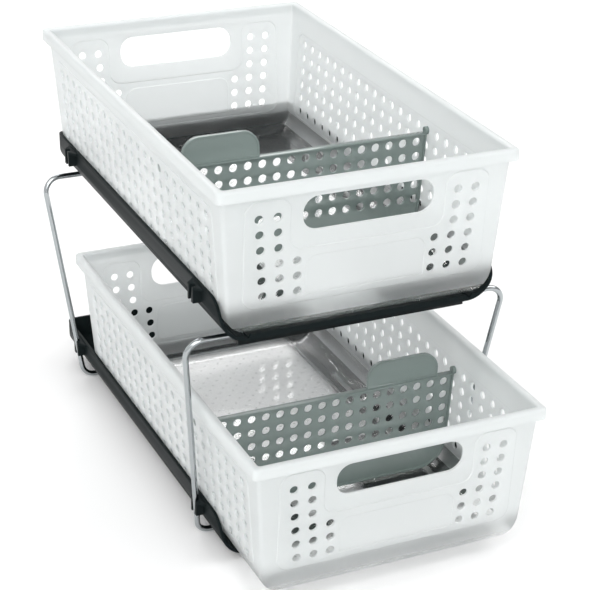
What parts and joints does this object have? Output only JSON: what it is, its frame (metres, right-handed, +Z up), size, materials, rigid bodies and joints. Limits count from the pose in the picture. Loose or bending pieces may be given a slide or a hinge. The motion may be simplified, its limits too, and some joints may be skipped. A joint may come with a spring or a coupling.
{
  "type": "two-tier pull-out cabinet basket organiser",
  "caption": "Two-tier pull-out organiser: perforated baskets with hinged dividers slide out of shallow tracks held one above the other by leaning wire frames.",
  "frame": {"origin": "on the shelf, at the centre of the space the object takes up with its lower basket drawn out 65 mm as stored", "axes": "+X to the right, +Y to the rear, away from the handles that are pulled, +Z up"},
  "size_m": [0.2636, 0.465, 0.3063],
  "materials": {
    "track_plastic": "satin moulded",
    "clip_plastic": "satin moulded",
    "wire": "bright plated",
    "basket_plastic": "frosted, slightly see-through",
    "divider_plastic": "smoky, see-through"
  },
  "bodies": {
    "frame": {"lower_track": "track_plastic", "upper_track": "track_plastic", "front_wire_frame": "wire", "rear_wire_frame": "wire", "front_bar_clip": "clip_plastic", "rear_bar_clip": "clip_plastic"},
    "upper_basket": {"upper_basket": "basket_plastic"},
    "lower_basket": {"lower_basket": "basket_plastic"},
    "upper_divider": {"upper_divider": "divider_plastic"},
    "lower_divider": {"lower_divider": "divider_plastic"}
  },
  "joints": [
    {"name": "upper_slide", "type": "slide", "parent": "frame", "child": "upper_basket", "axis": [0, -1, 0], "range_m": [0, 0.25]},
    {"name": "lower_slide", "type": "slide", "parent": "frame", "child": "lower_basket", "axis": [0, -1, 0], "range_m": [-0.065, 0.185]},
    {"name": "upper_divider_hinge", "type": "hinge", "parent": "upper_basket", "child": "upper_divider", "pos_m": [0, -0.0377, 0.2773], "axis": [1, 0, 0], "range_deg": [-75, 75]},
    {"name": "lower_divider_hinge", "type": "hinge", "parent": "lower_basket", "child": "lower_divider", "pos_m": [0, -0.1027, 0.0973], "axis": [1, 0, 0], "range_deg": [-75, 75]}
  ]
}
